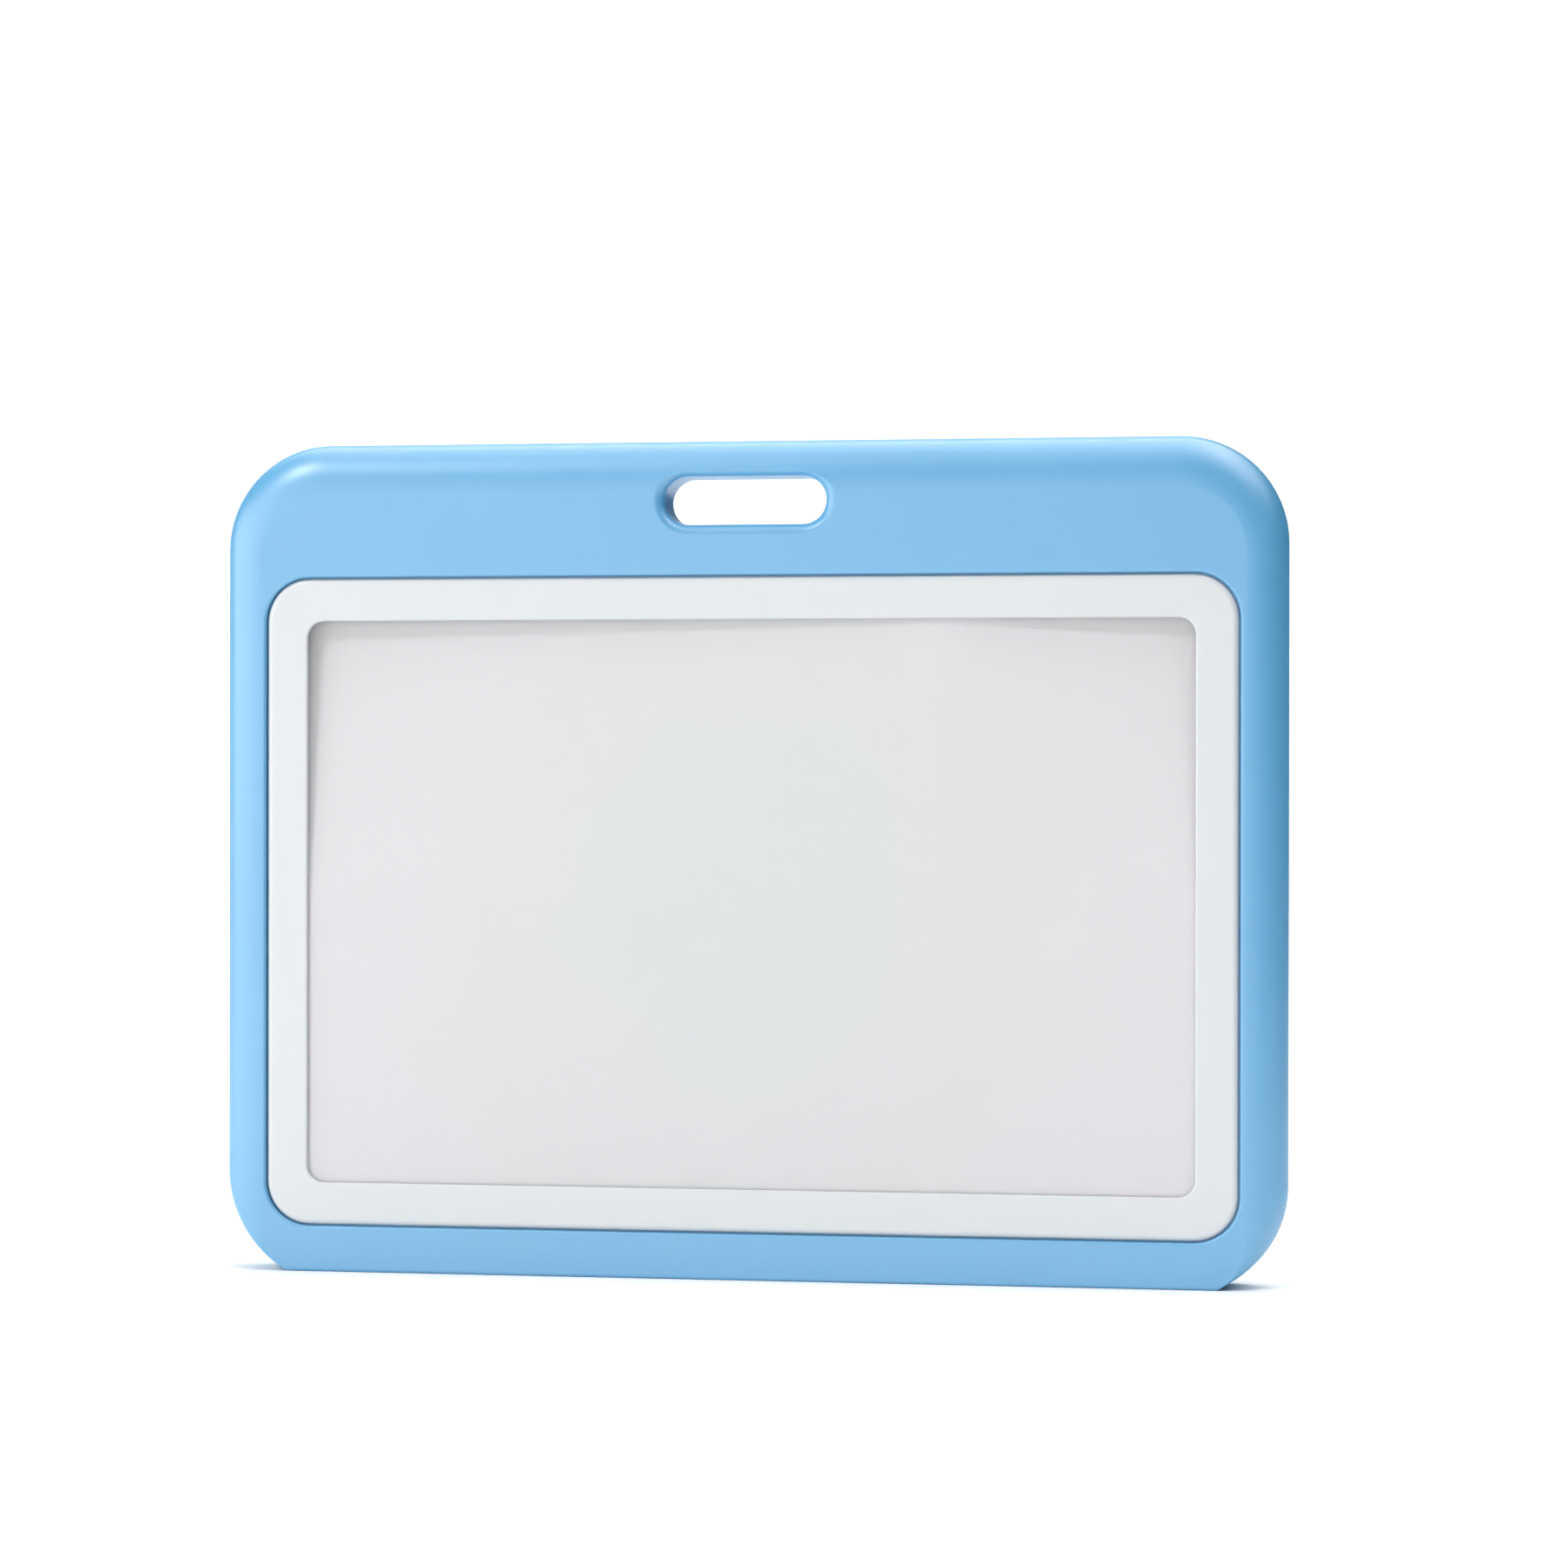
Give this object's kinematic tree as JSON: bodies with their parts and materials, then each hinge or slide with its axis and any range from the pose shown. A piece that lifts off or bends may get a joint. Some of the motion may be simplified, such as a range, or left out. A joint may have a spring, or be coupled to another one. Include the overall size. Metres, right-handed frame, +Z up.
{
  "type": "card badge holder",
  "caption": "Landscape rigid card badge holder: a rounded two-shell case with a lanyard slot, framed clear windows and a card tray that slides out of the bottom edge.",
  "frame": {"origin": "middle of the flat bottom edge, half way between the front and the back face", "axes": "+X to the right across the width as the front is seen, +Y towards the back, +Z up towards the lanyard slot"},
  "size_m": [0.0988, 0.006, 0.077],
  "materials": {
    "shell_blue": "pale blue moulded plastic, fine satin",
    "bezel_white": "cool white moulded plastic, semi gloss",
    "window_film": "clear polished film",
    "tray_white": "cool white moulded plastic, satin",
    "card_stock": "blank uncoated card"
  },
  "bodies": {
    "case": {"front_shell": "shell_blue", "back_shell": "shell_blue", "front_bezel": "bezel_white", "rear_bezel": "bezel_white", "front_window": "window_film", "rear_window": "window_film"},
    "tray": {"card_tray": "tray_white", "card_insert": "card_stock"}
  },
  "joints": [
    {"name": "tray_slide", "type": "slide", "parent": "case", "child": "tray", "axis": [0, 0, -1], "range_m": [0, 0.048]}
  ]
}
